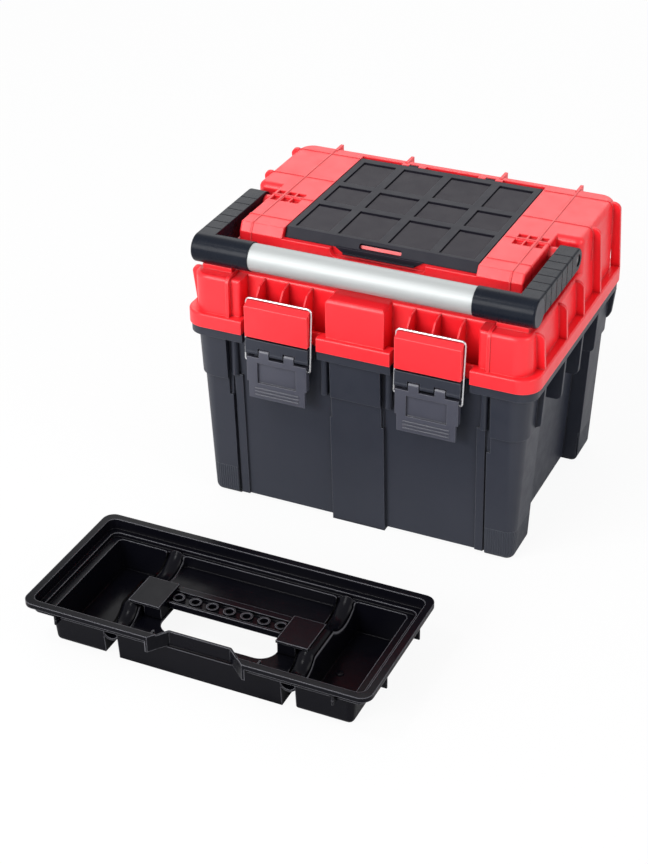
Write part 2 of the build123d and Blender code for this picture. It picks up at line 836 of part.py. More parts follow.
def make_arm(side, name):
    """One moulded arm of the handle, with its elbow and the spigot that fills the tube's end."""
    outer = arm_inner + arm_width
    with BuildPart() as arm:
        # Side profile of the arm, rounded about its pivot, its front end round about the tube's axis
        with BuildSketch(Plane.YZ.offset(side * arm_inner)):
            with BuildLine():
                Polyline(
                    (handle_axis_y, pivot_z - arm_half_height),
                    (pivot_y, pivot_z - arm_half_height),
                    (pivot_y, pivot_z + arm_half_height),
                    (handle_axis_y, pivot_z + arm_half_height),
                    close=True,
                )
            make_face()
            with Locations((pivot_y, pivot_z)):
                Circle(arm_half_height)
            with Locations((handle_axis_y, handle_axis_z)):
                Circle(elbow_radius)
        extrude(amount=side * arm_width)
        fillet(arm.faces().sort_by(Axis.X)[-1 if side > 0 else 0].edges(), 2.5)
        # Elbow and spigot
        x = sorted((side * tube_half, side * (arm_inner + 1)))
        rod(elbow_radius, x, handle_axis_y, handle_axis_z)
        x = sorted((side * (tube_half - elbow_spigot), side * (tube_half + 1)))
        rod(tube_radius - tube_wall - 0.1, x, handle_axis_y, handle_axis_z)
        # Grooves across the top and the outer face
        for step in range(1, groove_count + 1):
            y = handle_axis_y + groove_pitch * step
            slit = (y - groove_width_arm / 2, y + groove_width_arm / 2)
            tall = (pivot_z - arm_half_height - 1, pivot_z + arm_half_height + 1)
            block(sorted((side * (outer - groove_depth), side * (outer + 1))), slit, tall, Mode.SUBTRACT)
            across = sorted((side * (arm_inner - 1), side * (outer + 1)))
            block(across, slit, (pivot_z + arm_half_height - groove_depth, tall[1]), Mode.SUBTRACT)
        # Bore and head recess of the pivot, and seat of the end cap
        x = sorted((side * (arm_inner - 1), side * (outer + 1)))
        rod(pivot_pin_radius + 0.05, x, pivot_y, pivot_z, Mode.SUBTRACT)
        x = sorted((side * (outer - pivot_head_depth), side * (outer + 1)))
        rod(pivot_head_radius + 0.3, x, pivot_y, pivot_z, Mode.SUBTRACT)
        x = sorted((side * (outer - end_cap_thickness), side * (outer + 1)))
        rod(end_cap_radius + 0.1, x, handle_axis_y, handle_axis_z, Mode.SUBTRACT)
    arm.part.label = name
    return arm.part


def make_end_cap(side, name):
    """The disc that closes an elbow's outer end."""
    outer = arm_inner + arm_width
    with BuildPart() as cap:
        x = sorted((side * (outer - end_cap_thickness), side * outer))
        rod(end_cap_radius, x, handle_axis_y, handle_axis_z)
    cap.part.label = name
    return cap.part


def make_pivot_pin(side, name):
    """The shouldered pin that a handle arm turns on, pressed into the lid's boss."""
    outer = arm_inner + arm_width
    with BuildPart() as pin:
        x = sorted((side * (inner_half_x - 10), side * (outer - 2)))
        rod(pivot_pin_radius, x, pivot_y, pivot_z)
        x = sorted((side * (outer - pivot_head_depth + 0.2), side * (outer - 1.5)))
        rod(pivot_head_radius, x, pivot_y, pivot_z)
    pin.part.label = name
    return pin.part


def make_lever(side, name):
    """One latch lever, hinged at its top, with a finger recess, side rails and holes for the bail's hooks."""
    middle = side * latch_x
    front = lever_axis_y - knuckle_radius
    back = front + lever_thickness
    body_top = lever_axis_z - knuckle_radius - lever_top_gap
    foot_half = lever_half - lever_foot_inset
    with BuildPart() as lever:
        block((middle - foot_half, middle + foot_half), (front, back), (lever_low, body_top))
        block((middle - lever_half, middle + lever_half), (front, back), (lever_low + lever_foot_height, body_top))
        for step in (-1, 1):
            rail = sorted((middle + step * lever_half, middle + step * (lever_half - lever_rail)))
            block(rail, (front, front + lever_rail_depth), (lever_low + lever_foot_height, body_top))
        # Finger recess and grip ribs
        recess = (lever_low + lever_foot_height - 1, lever_axis_z - bail_drop)
        block((middle - 25.5, middle + 25.5), (front - 1, front + lever_recess), recess, Mode.SUBTRACT)
        for step in range(3):
            z = lever_low + 3.5 + 4.5 * step
            block((middle - 29, middle + 29), (front - 0.7, front + 1), (z, z + 1.8))
        # Knuckles round the hinge pin
        for step in (-1, 1):
            x = middle + step * lever_knuckle_x
            half = lever_knuckle_width / 2
            rod(knuckle_radius, (x - half, x + half), lever_axis_y, lever_axis_z)
            block((x - half, x + half), (front, back), (body_top - 1, lever_axis_z))
            rod(
                lever_pin_radius + running_gap / 2,
                (x - half - 1, x + half + 1),
                lever_axis_y,
                lever_axis_z,
                Mode.SUBTRACT,
            )
        # Holes for the hooks of the bail
        for step in (-1, 1):
            x = sorted((middle + step * (lever_half + 1), middle + step * (lever_half - lever_rail + 1)))
            rod(wire_radius + running_gap, x, lever_axis_y, lever_axis_z - bail_drop, Mode.SUBTRACT)
    lever.part.label = name
    return lever.part


def make_latch_pin(side, name):
    """The pin of a latch lever, held in the bin's hinge block."""
    middle = side * latch_x
    with BuildPart() as pin:
        rod(lever_pin_radius, (middle - block_half + 1, middle + block_half - 1), lever_axis_y, lever_axis_z)
    pin.part.label = name
    return pin.part


def make_bail(side, name):
    """One wire bail: a bar over the keeper, two legs, and hooks turned into the lever's rails."""
    middle = side * latch_x
    half = keeper_half + wire_side_gap + wire_radius
    hook = lever_half - lever_rail + 2
    pivot = Vector(0, lever_axis_y, lever_axis_z - bail_drop)
    bar = Vector(0, bail_bar_y, keeper_top + seat_gap + wire_radius)
    with BuildPart() as bail:
        with BuildLine():
            route = FilletPolyline(
                (middle - hook, pivot.Y, pivot.Z),
                (middle - half, pivot.Y, pivot.Z),
                (middle - half, bar.Y, bar.Z),
                (middle + half, bar.Y, bar.Z),
                (middle + half, pivot.Y, pivot.Z),
                (middle + hook, pivot.Y, pivot.Z),
                radius=[wire_radius * 1.6, bail_bend, bail_bend, wire_radius * 1.6],
            )
        with BuildSketch(Plane(route @ 0, z_dir=route % 0)):
            Circle(wire_radius)
        sweep()
    bail.part.label = name
    return bail.part


# Depths and places inside the tray
tray_lip = 6.0
tray_rim_band = 9.0
tray_step_1 = 13.0
tray_step_2 = 5.0
tray_tub_inset_x = 27.0
tray_tub_inset_y = 21.0
tray_step_inset = 8.0
tray_draft = 5.0
tray_gap_middle = 110.0
tray_gap_half = 8.5
tray_raised_floor = 28.0
ridge_half = tray_gap_half + tray_wall
ridge_crest = tray_height - tray_step_1 - tray_step_2 + 3.5
ridge_middle = ridge_crest - ridge_half
notch_places = ((-52.0, -35.0), (66.0, 40.0))
notch_back = 24.0
tray_gusset_places = (-54.5, 76.5)
hand_hole_half = 72.0
hand_hole_front = -46.0
hand_hole_rear = 16.0
bar_front = -13.0
bar_rear = 19.0
bar_top = 44.0
bar_bottom = 36.0
pad_inner = 73.0
pad_outer = 112.0
pad_front = -32.0
pad_rear = 17.0
pad_thickness = 3.0
pad_top = ridge_crest + pad_thickness
socket_count = 7
socket_pitch = 21.6
socket_radius = 5.0


def tray_box(x, y, z, mode=Mode.ADD):
    """A box placed in the tray's own frame."""
    block((tray_x + x[0], tray_x + x[1]), (tray_y + y[0], tray_y + y[1]), z, mode)


def tray_tub(half_x, half_y, high, low, radius, taper):
    """A drafted block of the tray, given at its upper plane."""
    with BuildPart() as tub:
        with BuildSketch(Plane.XY.offset(high)):
            with Locations((tray_x, tray_y)):
                RectangleRounded(2 * half_x, 2 * half_y, radius)
        extrude(amount=low - high, taper=taper)
    return tub.part


def make_tray():
    """The tray: a stepped rim over three compartments, the middle one with a raised floor and a hand hole."""
    top_z = tray_height
    step_1 = top_z - tray_step_1
    step_2 = step_1 - tray_step_2
    inner_1 = (tray_half_x - tray_rim_band, tray_half_y - tray_rim_band)
    inner_2 = (inner_1[0] - tray_step_inset, inner_1[1] - tray_step_inset)
    tub = (tray_half_x - tray_tub_inset_x, tray_half_y - tray_tub_inset_y)
    with BuildPart() as tray:
        # Rim and the stepped wall under it
        add(tray_tub(tray_half_x, tray_half_y, top_z, top_z - tray_lip, tray_corner, 0))
        add(tray_tub(inner_1[0] + tray_wall, inner_1[1] + tray_wall, top_z, step_1 - tray_wall, 12, tray_draft))
        add(tray_tub(inner_2[0] + tray_wall, inner_2[1] + tray_wall, step_1, step_2 - tray_wall, 10, tray_draft))
        add(tray_tub(tub[0] + tray_wall, tub[1] + tray_wall, step_2, 0, 10, tray_draft))
        # Gaps between the compartments, open below and at both ends
        for side in (-1, 1):
            gap = sorted((side * (tray_gap_middle - tray_gap_half), side * (tray_gap_middle + tray_gap_half)))
            tray_box(gap, (-tray_half_y, tray_half_y), (-1, ridge_middle - tray_wall), Mode.SUBTRACT)
        # Stepped inside
        add(tray_tub(inner_1[0], inner_1[1], top_z + 0.01, step_1, 10, tray_draft), mode=Mode.SUBTRACT)
        add(tray_tub(inner_2[0], inner_2[1], step_1 + 0.01, step_2, 8, tray_draft), mode=Mode.SUBTRACT)
        # Three compartments
        outer = tray_gap_middle + ridge_half
        add(tray_compartment(-tub[0], -outer, tub[1], step_2, tray_wall), mode=Mode.SUBTRACT)
        add(tray_compartment(outer, tub[0], tub[1], step_2, tray_wall), mode=Mode.SUBTRACT)
        middle = tray_gap_middle - ridge_half
        add(tray_compartment(-middle, middle, tub[1], step_2, tray_raised_floor), mode=Mode.SUBTRACT)
        # Under the raised floor the middle is open below
        low_half = tub[1] - tray_wall - 4
        tray_box((-middle, middle), (-low_half, low_half), (-1, tray_raised_floor - tray_wall), Mode.SUBTRACT)
        # Hand hole through the raised floor
        hole_middle = (hand_hole_front + hand_hole_rear) / 2
        with BuildSketch(Plane.XY.offset(tray_raised_floor + 1)):
            with Locations((tray_x, tray_y + hole_middle)):
                RectangleRounded(2 * hand_hole_half, hand_hole_rear - hand_hole_front, 20)
        extrude(amount=-tray_wall - 2, mode=Mode.SUBTRACT)
        # Arched dividers, hollow below
        for side in (-1, 1):
            x = side * tray_gap_middle
            tray_box((x - ridge_half, x + ridge_half), (-tub[1], tub[1]), (ridge_middle, top_z), Mode.SUBTRACT)
            for radius, mode in ((ridge_half, Mode.ADD), (tray_gap_half, Mode.SUBTRACT)):
                reach = tub[1] + 1 if mode == Mode.ADD else tray_half_y
                with BuildSketch(Plane.XZ.offset(-tray_y - reach)):
                    with Locations((tray_x + x, ridge_middle)):
                        Circle(radius)
                extrude(amount=2 * reach, mode=mode)
        # Dip in the front of the rim, with a wall of its own
        edge = tray_y - tray_half_y
        outline = [(tray_x + out, edge - 1) for out, back in notch_places]
        outline[1:1] = [(tray_x + back, edge + notch_back - tray_wall) for out, back in notch_places]
        with BuildSketch(Plane.XY.offset(top_z - 2)):
            with BuildLine():
                Polyline(*outline, close=True)
            make_face()
            offset(amount=tray_wall)
            with Locations((tray_x, edge - 10)):
                Rectangle(tray_half_x, 20, mode=Mode.SUBTRACT)
        extrude(amount=step_2 - tray_wall - top_z + 2)
        with BuildSketch(Plane.XY.offset(top_z + 1)):
            with BuildLine():
                Polyline(*outline, close=True)
            make_face()
        extrude(amount=step_2 - tray_wall - top_z - 2, mode=Mode.SUBTRACT)
        # Gussets under the front of the rim
        for x in tray_gusset_places:
            with BuildSketch(Plane.YZ.offset(tray_x + x)):
                with BuildLine():
                    low = step_1 - tray_wall
                    Polyline((edge + 1, top_z - tray_lip), (edge + 22, top_z - tray_lip), (edge + 22, low), close=True)
                make_face()
            extrude(amount=1.0, both=True)
    tray.part.label = "tray_body"
    return tray.part


def tray_compartment(x_low, x_high, half_y, high, low):
    """The hollow of one compartment, drafted towards its floor."""
    with BuildPart() as hollow:
        with BuildSketch(Plane.XY.offset(high + 0.01)):
            with Locations((tray_x + (x_low + x_high) / 2, tray_y)):
                RectangleRounded(x_high - x_low, 2 * half_y, 6)
        extrude(amount=low - high - 0.01, taper=tray_draft)
    return hollow.part


def make_tray_handle():
    """The tray's carrying bar, with bit sockets, between two pads that sit on the dividers."""
    with BuildPart() as handle:
        tray_box((-pad_inner - 3, pad_inner + 3), (bar_front, bar_rear), (bar_bottom, bar_top))
        tray_box((-pad_inner, pad_inner), (bar_front + 3, bar_rear - 9), (bar_top - 4, bar_top + 1), Mode.SUBTRACT)
        for side in (-1, 1):
            x = sorted((side * pad_inner, side * pad_outer))
            tray_box(x, (pad_front, pad_rear), (ridge_crest, pad_top))
            x = sorted((side * pad_inner, side * (tray_gap_middle - ridge_half - 4)))
            tray_box(x, (pad_front + 4, pad_rear - 4), (tray_raised_floor + seat_gap, pad_top - 1))
        with Locations((tray_x, tray_y + (bar_front + bar_rear - 6) / 2, bar_bottom)):
            with GridLocations(socket_pitch, 0, socket_count, 1):
                Cylinder(socket_radius + 2.2, bar_top - bar_bottom, align=(Align.CENTER, Align.CENTER, Align.MIN))
        with Locations((tray_x, tray_y + (bar_front + bar_rear - 6) / 2, bar_bottom + 1.5)):
            with GridLocations(socket_pitch, 0, socket_count, 1):
                Cylinder(
                    socket_radius,
                    bar_top,
                    align=(Align.CENTER, Align.CENTER, Align.MIN),
                    mode=Mode.SUBTRACT,
                )
    handle.part.label = "tray_handle"
    return handle.part


def save(part):
    """Write one piece under its own name."""
    export_step(part, f"parts/{part.label}.step")


save(make_bin())
for side_x, column in ((-1, "left"), (1, "right")):
    for side_y, row in ((-1, "front"), (1, "rear")):
        save(make_foot_cap(side_x, side_y, f"foot_cap_{row}_{column}"))
save(make_lid())
save(make_hinge_pins())
save(make_cover())
save(make_cover_pins())
save(make_tube())
for side, hand in ((-1, "left"), (1, "right")):
    save(make_arm(side, f"handle_arm_{hand}"))
    save(make_end_cap(side, f"handle_end_cap_{hand}"))
    save(make_pivot_pin(side, f"handle_pivot_pin_{hand}"))
    save(make_lever(side, f"latch_lever_{hand}"))
    save(make_latch_pin(side, f"latch_pin_{hand}"))
    save(make_bail(side, f"latch_bail_{hand}"))
save(make_tray())
save(make_tray_handle())
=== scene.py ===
"""Looks of a moulded tool box and its tray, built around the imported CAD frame."""
import math

import bmesh
import bpy
from mathutils import Matrix, Vector


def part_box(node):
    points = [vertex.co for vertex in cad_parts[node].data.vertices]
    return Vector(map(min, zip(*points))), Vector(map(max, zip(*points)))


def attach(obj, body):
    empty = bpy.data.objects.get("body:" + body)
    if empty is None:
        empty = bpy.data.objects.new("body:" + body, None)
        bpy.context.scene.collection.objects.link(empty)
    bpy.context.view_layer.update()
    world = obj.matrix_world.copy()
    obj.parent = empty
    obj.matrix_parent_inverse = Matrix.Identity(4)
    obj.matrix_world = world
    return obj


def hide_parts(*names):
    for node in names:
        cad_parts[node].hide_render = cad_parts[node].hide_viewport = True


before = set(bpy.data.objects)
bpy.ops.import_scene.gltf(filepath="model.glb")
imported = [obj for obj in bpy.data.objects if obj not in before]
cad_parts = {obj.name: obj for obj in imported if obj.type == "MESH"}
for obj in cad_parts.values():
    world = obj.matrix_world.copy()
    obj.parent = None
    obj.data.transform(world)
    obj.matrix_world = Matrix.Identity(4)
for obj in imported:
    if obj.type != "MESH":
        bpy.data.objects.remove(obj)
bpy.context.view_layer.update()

# Camera, fitted to the photograph: place in metres, angles in degrees, focal length in pixels of its height
CAMERA_AT = (0.7643, -1.8925, 1.2969)
CAMERA_YAW = 24.99
CAMERA_PITCH = 31.45
CAMERA_ROLL = -0.596
FOCAL_PIXELS = 1841.3
IMAGE_HEIGHT = 864
SENSOR = 36.0

# Stage: floor's half length and depth below the feet, share of its own white, light of the world, lamps' target
WHITE = (1.0, 1.0, 1.0)
FLOOR_COLOUR = (0.86, 0.86, 0.87)
FLOOR_REACH = 12.0
FLOOR_DROP = 0.0005
FLOOR_GLOW = 0.92
WORLD_LIGHT = 0.55
WORLD_SEEN = 1.0
LAMP_TARGET = (0.0, -0.1, 0.2)

# Materials: scales of the noises per metre, the part of a noise's range that is used, and how roughness wanders
MILLIMETRE = 0.001
DRIFT_SCALE = 9.0
WANDER_SCALE = 60.0
LINE_SCALE = 900.0
LINE_SHADE = 0.93
NOISE_SPAN = (0.3, 0.7)
PLASTIC_WANDER = (0.04, 0.05)
METAL_WANDER = (0.05, 0.06)
METAL_EDGE = 0.0005

# Moulded edges, with a painted highlight on outward edges and painted shade in corners: cosines of the turn at
# which the painted highlight starts and is full, how open they are, colour of the painted corner shade
EDGE_SAMPLES = 6
EDGE_TURN = (0.995, 0.80)
EDGE_OPEN = (0.78, 0.95)
SHELTER_REACH = 0.006
CREASE_SHADE = (0.25, 0.22, 0.24)

# Copies of the solids' meshes: lengths in metres, angles between faces in degrees
JOIN_REACH = 2e-6
FLAT_ANGLE = 0.6
SHARP_ANGLE = 28
CORNER_ANGLE = 40
CLOSE = 1e-6
NEAR = 0.0002

# Windows of the organiser's cover
WINDOW_BAR = 0.011
WINDOW_BAR_X = 0.0645
WINDOW_ROWS = (-0.008, 0.052)
WINDOW_MARGIN = 0.008
WINDOW_RECESS = 0.0024
STRIP_RUN = 0.0091
PANEL_REAR = 0.136
PANE_GAP = 0.0008
PANE_THICKNESS = 0.0008
PANE_BEVEL = 0.0003

# Side gussets of the bin: old and new places along it, reach at the top and the foot, and the lower round
GUSSET_PLACES = ((-0.138, -0.1245), (-0.066, -0.051), (0.007, 0.0145), (0.073, 0.0775))
GUSSET_HALF = 0.0025
GUSSET_ROOT = 0.188
GUSSET_SKIN = 0.0024
GUSSET_UNDER = 0.187
GUSSET_TOP = 0.233
GUSSET_FOOT = 0.178
GUSSET_OUT = (0.2228, 0.2197)
GUSSET_ROUND = 0.007
DRAFT = 0.0454

# Collar of the front's middle pilaster: half its width, how far forward it starts, its foot and how much that rises
COLLAR_HALF = 0.0372
COLLAR_FRONT = -0.155
COLLAR_FOOT = 0.175
COLLAR_RISE = 0.0068

# Foot caps: rounding of their lower edges, its steps, where their corners' middles are, depth of the outer skin
FOOT_ROUND = 0.0085
FOOT_STEPS = 6
FOOT_CENTRE = (0.191, 0.1422)
FOOT_SKIN = 0.0012
GROOVE_PITCH = 0.003
GROOVE_DEPTH = 0.0005

# Tray: its dividers and tubs, from its middle and its foot
GAP_X = (0.1015, 0.1185)
RIDGE_HALF = 0.011
DIVIDER_FOOT = 0.0310
TUB_HALF_Y = 0.0770
TUB_ROUND = 0.006
TUB_SLACK = 0.001
TUB_FOOT = 0.0004
PAD_FRONT = -0.032
PAD_REAR = 0.017
SADDLE_DEPTH = 0.013
SADDLE_POWER = 0.8
TRAY_CUTS = 19

# Tray: the lugs under its rim and the bosses on its floor
LIP = 0.006
LUG_FOOT = 0.038
LUG_X = 0.1705
LUG_Y = 0.046
LUG_REACH = 0.0078
LUG_FRONT = 0.002
LUG_SIDE = 0.0006
LUG_LAP = 0.001
LUG_THICKNESS = 0.0026
LUG_BEVEL = 0.0009
LEDGE_UNDER = 0.0445
BOSS_X = 0.1378
BOSS_Y = -0.0035
BOSS_TOP = 0.0016
BOSS_RINGS = ((0.0036, 0.0016), (0.0046, 0.0010), (0.0050, -0.0004))
BOSS_SIDES = 32
FLOOR_Z = 0.0025

# Wire of the latches
WIRE_RADIUS = 0.0015
LEG_REACH = 0.0425
HOOK_REACH = 0.035
WIRE_BENDS = (0.0024, 0.005, 0.005, 0.0024)


def node_tree(material):
    """The material's tree, its Principled shader and an object coordinate."""
    material.use_nodes = True
    tree = material.node_tree
    shader = tree.nodes["Principled BSDF"]
    place = tree.nodes.new("ShaderNodeTexCoord")
    return tree, shader, place.outputs["Object"]


def feed(tree, value, socket):
    """Links an output to a socket, or sets the socket to a number or a colour."""
    if isinstance(value, bpy.types.NodeSocket):
        tree.links.new(value, socket)
    elif isinstance(value, tuple):
        socket.default_value = (*value, 1.0)
    else:
        socket.default_value = value


def math_node(tree, operation, first, second=None):
    """The result of one sum on one or two values, each an output or a number."""
    node = tree.nodes.new("ShaderNodeMath")
    node.operation = operation
    feed(tree, first, node.inputs[0])
    if second is not None:
        feed(tree, second, node.inputs[1])
    return node.outputs[0]


def noise(tree, place, scale, detail=3.0, rough=0.5, stretch=None):
    """A noise texture's value, in object metres, drawn out along an axis if stretch says so."""
    if stretch:
        mapping = tree.nodes.new("ShaderNodeMapping")
        mapping.inputs["Scale"].default_value = stretch
        tree.links.new(place, mapping.inputs["Vector"])
        place = mapping.outputs["Vector"]
    texture = tree.nodes.new("ShaderNodeTexNoise")
    texture.inputs["Scale"].default_value = scale
    texture.inputs["Detail"].default_value = detail
    texture.inputs["Roughness"].default_value = rough
    tree.links.new(place, texture.inputs["Vector"])
    return texture.outputs["Fac"]


def ranged(tree, value, source, target=(0.0, 1.0)):
    """A value taken from one range to another."""
    node = tree.nodes.new("ShaderNodeMapRange")
    limits = zip(("From Min", "From Max", "To Min", "To Max"), (*source, *target))
    for socket, limit in limits:
        node.inputs[socket].default_value = limit
    tree.links.new(value, node.inputs["Value"])
    return node.outputs["Result"]


def mix_colours(tree, factor, first, second, blend="MIX"):
    """A colour between two, each an output or a colour, by a value."""
    mix = tree.nodes.new("ShaderNodeMix")
    mix.data_type = "RGBA"
    mix.blend_type = blend
    tree.links.new(factor, mix.inputs["Factor"])
    feed(tree, first, mix.inputs["A"])
    feed(tree, second, mix.inputs["B"])
    return mix.outputs["Result"]


def soft_edges(tree, radius):
    """A normal that turns smoothly over every edge, as a moulded or bent edge of this radius does."""
    edges = tree.nodes.new("ShaderNodeBevel")
    edges.samples = EDGE_SAMPLES
    edges.inputs["Radius"].default_value = radius
    return edges.outputs["Normal"]


def outward_edges(tree, rounded):
    """Near 1 on outward edges and 0 on flats and in corners, the mask of the painted edge highlight, with how open
    each point is, which sets the painted shade in corners.
    """
    plain = tree.nodes.new("ShaderNodeNewGeometry")
    dot = tree.nodes.new("ShaderNodeVectorMath")
    dot.operation = "DOT_PRODUCT"
    tree.links.new(rounded, dot.inputs[0])
    tree.links.new(plain.outputs["Normal"], dot.inputs[1])
    turned = ranged(tree, dot.outputs["Value"], EDGE_TURN)
    shelter = tree.nodes.new("ShaderNodeAmbientOcclusion")
    shelter.samples = EDGE_SAMPLES
    shelter.inputs["Distance"].default_value = SHELTER_REACH
    openness = shelter.outputs["AO"]
    return math_node(tree, "MULTIPLY", turned, ranged(tree, openness, EDGE_OPEN)), openness


def add_bump(tree, shader, height, depth, normal):
    """Relief of this depth, laid over a normal, as the shader's normal."""
    bump = tree.nodes.new("ShaderNodeBump")
    bump.inputs["Strength"].default_value = 1.0
    bump.inputs["Distance"].default_value = depth
    tree.links.new(height, bump.inputs["Height"])
    tree.links.new(normal, bump.inputs["Normal"])
    tree.links.new(bump.outputs["Normal"], shader.inputs["Normal"])


def plastic(name, colour, second, rough, specular, grain=0.02, grain_scale=1800.0, edge=0.0009,
            edge_highlight=None, crease=1.0):
    """Moulded plastic: slow colour drift, a fine spark-eroded grain, and roughness that wanders a little.

    grain is the grain's depth in millimetres and edge the radius of its edges. The edge colour, where one is given,
    is a painted highlight on its outward edges, and then crease is how much painted shade darkens its corners.
    """
    material = bpy.data.materials.new(name)
    tree, shader, place = node_tree(material)
    drift = ranged(tree, noise(tree, place, DRIFT_SCALE, detail=4.0), NOISE_SPAN)
    body_colour = mix_colours(tree, drift, colour, second)
    rounded = soft_edges(tree, edge)
    if edge_highlight:
        outward, openness = outward_edges(tree, rounded)
        # painted highlight: outward edges lightened towards the given edge colour
        body_colour = mix_colours(tree, outward, body_colour, edge_highlight)
        # painted shade: corners and creases darkened towards the crease shade colour by how closed in they are
        shade = math_node(tree, "MULTIPLY", math_node(tree, "SUBTRACT", 1.0, openness), crease)
        body_colour = mix_colours(tree, shade, body_colour, CREASE_SHADE, "MULTIPLY")
    tree.links.new(body_colour, shader.inputs["Base Color"])
    less, more = PLASTIC_WANDER
    wander = ranged(tree, noise(tree, place, WANDER_SCALE, detail=5.0), NOISE_SPAN, (rough - less, rough + more))
    tree.links.new(wander, shader.inputs["Roughness"])
    shader.inputs["Specular IOR Level"].default_value = specular
    add_bump(tree, shader, noise(tree, place, grain_scale, detail=2.0), grain * MILLIMETRE, rounded)
    return material


def add_grooves(material, pitch, depth):
    """Fine upright grooves on the faces of a foot cap, laid over what bump the material has."""
    tree = material.node_tree
    shader = tree.nodes["Principled BSDF"]
    place = tree.nodes.new("ShaderNodeTexCoord")
    where = tree.nodes.new("ShaderNodeSeparateXYZ")
    facing = tree.nodes.new("ShaderNodeSeparateXYZ")
    tree.links.new(place.outputs["Object"], where.inputs[0])
    tree.links.new(place.outputs["Normal"], facing.inputs[0])
    sideways = math_node(tree, "ABSOLUTE", facing.outputs["X"])
    frontal = math_node(tree, "ABSOLUTE", facing.outputs["Y"])
    to_side = math_node(tree, "GREATER_THAN", sideways, frontal)
    to_front = math_node(tree, "SUBTRACT", 1.0, to_side)
    along_y = math_node(tree, "MULTIPLY", where.outputs["Y"], to_side)
    along_x = math_node(tree, "MULTIPLY", where.outputs["X"], to_front)
    along = math_node(tree, "ADD", along_x, along_y)
    wave = math_node(tree, "SINE", math_node(tree, "MULTIPLY", along, 2.0 * math.pi / pitch))
    upright = math_node(tree, "LESS_THAN", math_node(tree, "ABSOLUTE", facing.outputs["Z"]), 0.5)
    before = shader.inputs["Normal"].links[0].from_socket
    add_bump(tree, shader, math_node(tree, "MULTIPLY", wave, upright), depth, before)


def metal(name, colour, rough, stretch, grain, metallic=1.0):
    """Drawn or brushed metal with fine lines along one axis, of a depth in millimetres."""
    material = bpy.data.materials.new(name)
    tree, shader, place = node_tree(material)
    lines = noise(tree, place, LINE_SCALE, 4.0, 0.6, stretch)
    darker = tuple(c * LINE_SHADE for c in colour)
    shade = mix_colours(tree, ranged(tree, lines, NOISE_SPAN), darker, colour)
    tree.links.new(shade, shader.inputs["Base Color"])
    less, more = METAL_WANDER
    wander = ranged(tree, lines, NOISE_SPAN, (rough - less, rough + more))
    tree.links.new(wander, shader.inputs["Roughness"])
    shader.inputs["Metallic"].default_value = metallic
    add_bump(tree, shader, lines, grain * MILLIMETRE, soft_edges(tree, METAL_EDGE))
    return material


# Each edge colour given below is a painted highlight on outward edges; each such plastic also gets painted shade in
# its corners, less on the red
red = plastic("red_plastic", (0.88, 0.016, 0.025), (0.91, 0.021, 0.031), rough=0.32, specular=0.45,
              edge=0.0016, edge_highlight=(0.95, 0.10, 0.11), crease=0.6)
bin_black = plastic("bin_black", (0.017, 0.020, 0.031), (0.021, 0.024, 0.036), rough=0.42, specular=0.34,
                    grain=0.05, edge=0.0013, edge_highlight=(0.085, 0.090, 0.110))
cap_grey = plastic("cap_grey", (0.021, 0.025, 0.037), (0.026, 0.030, 0.043), rough=0.45, specular=0.36,
                   grain=0.04, edge_highlight=(0.10, 0.11, 0.13))
cover_black = plastic("cover_black", (0.015, 0.015, 0.022), (0.019, 0.019, 0.027), rough=0.34, specular=0.07,
                      edge=0.0012, edge_highlight=(0.055, 0.050, 0.065))
window_black = plastic("window_black", (0.009, 0.006, 0.013), (0.011, 0.008, 0.016), rough=0.22, specular=0.05)
handle_black = plastic("handle_black", (0.006, 0.008, 0.014), (0.009, 0.012, 0.019), rough=0.26, specular=0.10,
                       grain=0.03, edge=0.0012, edge_highlight=(0.05, 0.053, 0.063))
knob_grey = plastic("knob_grey", (0.030, 0.033, 0.042), (0.036, 0.039, 0.049), rough=0.4, specular=0.3,
                    edge_highlight=(0.09, 0.10, 0.12))
latch_grey = plastic("latch_grey", (0.052, 0.054, 0.074), (0.060, 0.062, 0.083), rough=0.34, specular=0.5,
                     edge=0.0010, edge_highlight=(0.12, 0.125, 0.15))
tray_black = plastic("tray_black", (0.002, 0.002, 0.004), (0.004, 0.004, 0.006), rough=0.22, specular=0.07,
                     grain=0.006, grain_scale=500.0, edge=0.0020, edge_highlight=(0.17, 0.17, 0.19))
tube_metal = metal("tube_metal", (0.44, 0.46, 0.46), rough=0.5, stretch=(0.02, 1.0, 1.0), grain=0.004,
                   metallic=0.35)
wire_metal = metal("wire_metal", (0.60, 0.60, 0.61), rough=0.25, stretch=(1.0, 1.0, 0.1), grain=0.002)
pin_metal = metal("pin_metal", (0.25, 0.25, 0.26), rough=0.3, stretch=(0.05, 1.0, 1.0), grain=0.004)
add_grooves(cap_grey, GROOVE_PITCH, GROOVE_DEPTH)

LOOKS = {
    "bin_body": bin_black,
    "foot_cap_front_left": cap_grey,
    "foot_cap_front_right": cap_grey,
    "foot_cap_rear_left": cap_grey,
    "foot_cap_rear_right": cap_grey,
    "lid_shell": red,
    "lid_hinge_pins": pin_metal,
    "organiser_cover": cover_black,
    "cover_hinge_pins": pin_metal,
    "handle_tube": tube_metal,
    "handle_arm_left": handle_black,
    "handle_arm_right": handle_black,
    "handle_end_cap_left": knob_grey,
    "handle_end_cap_right": knob_grey,
    "handle_pivot_pin_left": pin_metal,
    "handle_pivot_pin_right": pin_metal,
    "latch_lever_left": latch_grey,
    "latch_lever_right": latch_grey,
    "latch_pin_left": pin_metal,
    "latch_pin_right": pin_metal,
    "latch_bail_left": wire_metal,
    "latch_bail_right": wire_metal,
    "tray_body": tray_black,
    "tray_handle": tray_black,
}
for node, material in LOOKS.items():
    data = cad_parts[node].data
    data.materials.clear()
    data.materials.append(material)


def finished_mesh(name, form, material):
    """A mesh object made from a bmesh, in the scene and in one material."""
    mesh = bpy.data.meshes.new(name)
    form.to_mesh(mesh)
    form.free()
    mesh.materials.append(material)
    piece = bpy.data.objects.new(name, mesh)
    bpy.context.scene.collection.objects.link(piece)
    return piece


